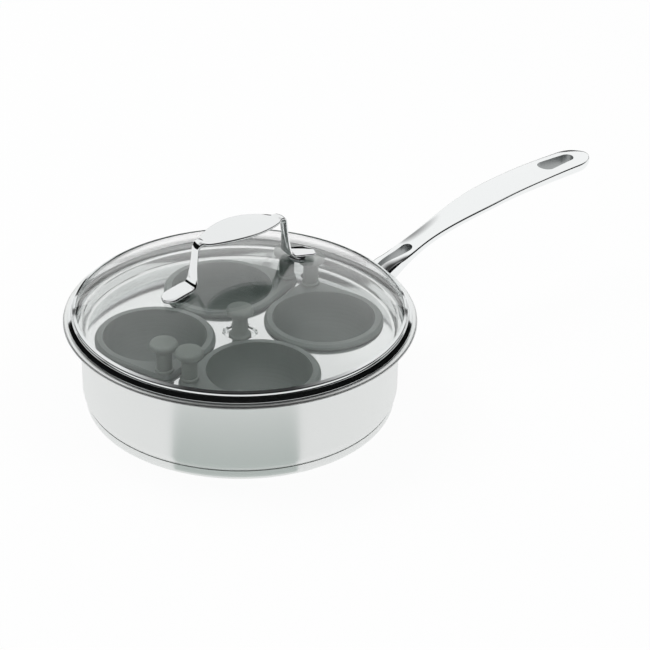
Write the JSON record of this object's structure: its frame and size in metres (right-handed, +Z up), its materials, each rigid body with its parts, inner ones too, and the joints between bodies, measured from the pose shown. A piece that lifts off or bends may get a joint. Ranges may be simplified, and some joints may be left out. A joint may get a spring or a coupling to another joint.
{
  "type": "egg poacher pan",
  "caption": "Steel saute pan with a flared lip and a cast long handle, a lift-out tray with non-stick egg cups and knobs, and a glass lid with a strap handle.",
  "frame": {"origin": "centre of the base's underside, on the pan's axis", "axes": "+Z up, +X along the long handle, away from the pan"},
  "size_m": [0.4125, 0.224, 0.1243],
  "materials": {
    "satin_steel": "satin brushed stainless steel",
    "base_aluminium": "bare",
    "polished_steel": "polished stainless steel",
    "knob_plastic": "moulded, satin",
    "cup_coating": "non-stick coating on pressed steel",
    "lid_glass": "clear tempered glass",
    "washer_rubber": "matte",
    "fastener_steel": "plain"
  },
  "bodies": {
    "pan": {"pan_shell": "satin_steel", "base_core": "base_aluminium", "base_cap": "satin_steel", "handle": "polished_steel", "handle_rivets": "polished_steel"},
    "lid": {"lid_glass": "lid_glass", "lid_rim": "polished_steel", "lid_handle": "polished_steel", "lid_washers": "washer_rubber", "lid_backing_washers": "fastener_steel", "lid_screws": "fastener_steel"},
    "tray": {"tray": "polished_steel", "tray_knob": "knob_plastic", "tray_knob_screw": "fastener_steel"},
    "cup_1": {"cup_1": "cup_coating", "cup_1_knob": "knob_plastic", "cup_1_screw": "fastener_steel"},
    "cup_2": {"cup_2": "cup_coating", "cup_2_knob": "knob_plastic", "cup_2_screw": "fastener_steel"},
    "cup_3": {"cup_3": "cup_coating", "cup_3_knob": "knob_plastic", "cup_3_screw": "fastener_steel"},
    "cup_4": {"cup_4": "cup_coating", "cup_4_knob": "knob_plastic", "cup_4_screw": "fastener_steel"}
  },
  "joints": [
    {"name": "lid_lift", "type": "slide", "parent": "pan", "child": "lid", "axis": [0, 0, 1], "range_m": [0, 0.24]},
    {"name": "tray_lift", "type": "slide", "parent": "pan", "child": "tray", "axis": [0, 0, 1], "range_m": [0, 0.12]},
    {"name": "cup_1_lift", "type": "slide", "parent": "tray", "child": "cup_1", "axis": [0, 0, 1], "range_m": [0, 0.06]},
    {"name": "cup_2_lift", "type": "slide", "parent": "tray", "child": "cup_2", "axis": [0, 0, 1], "range_m": [0, 0.06]},
    {"name": "cup_3_lift", "type": "slide", "parent": "tray", "child": "cup_3", "axis": [0, 0, 1], "range_m": [0, 0.06]},
    {"name": "cup_4_lift", "type": "slide", "parent": "tray", "child": "cup_4", "axis": [0, 0, 1], "range_m": [0, 0.06]}
  ],
  "couplings": [
    {"joint": "tray_lift", "follows": "lid_lift", "ratio": 0.5},
    {"joint": "cup_1_lift", "follows": "lid_lift", "ratio": 0.25},
    {"joint": "cup_2_lift", "follows": "lid_lift", "ratio": 0.25},
    {"joint": "cup_3_lift", "follows": "lid_lift", "ratio": 0.25},
    {"joint": "cup_4_lift", "follows": "lid_lift", "ratio": 0.25}
  ]
}
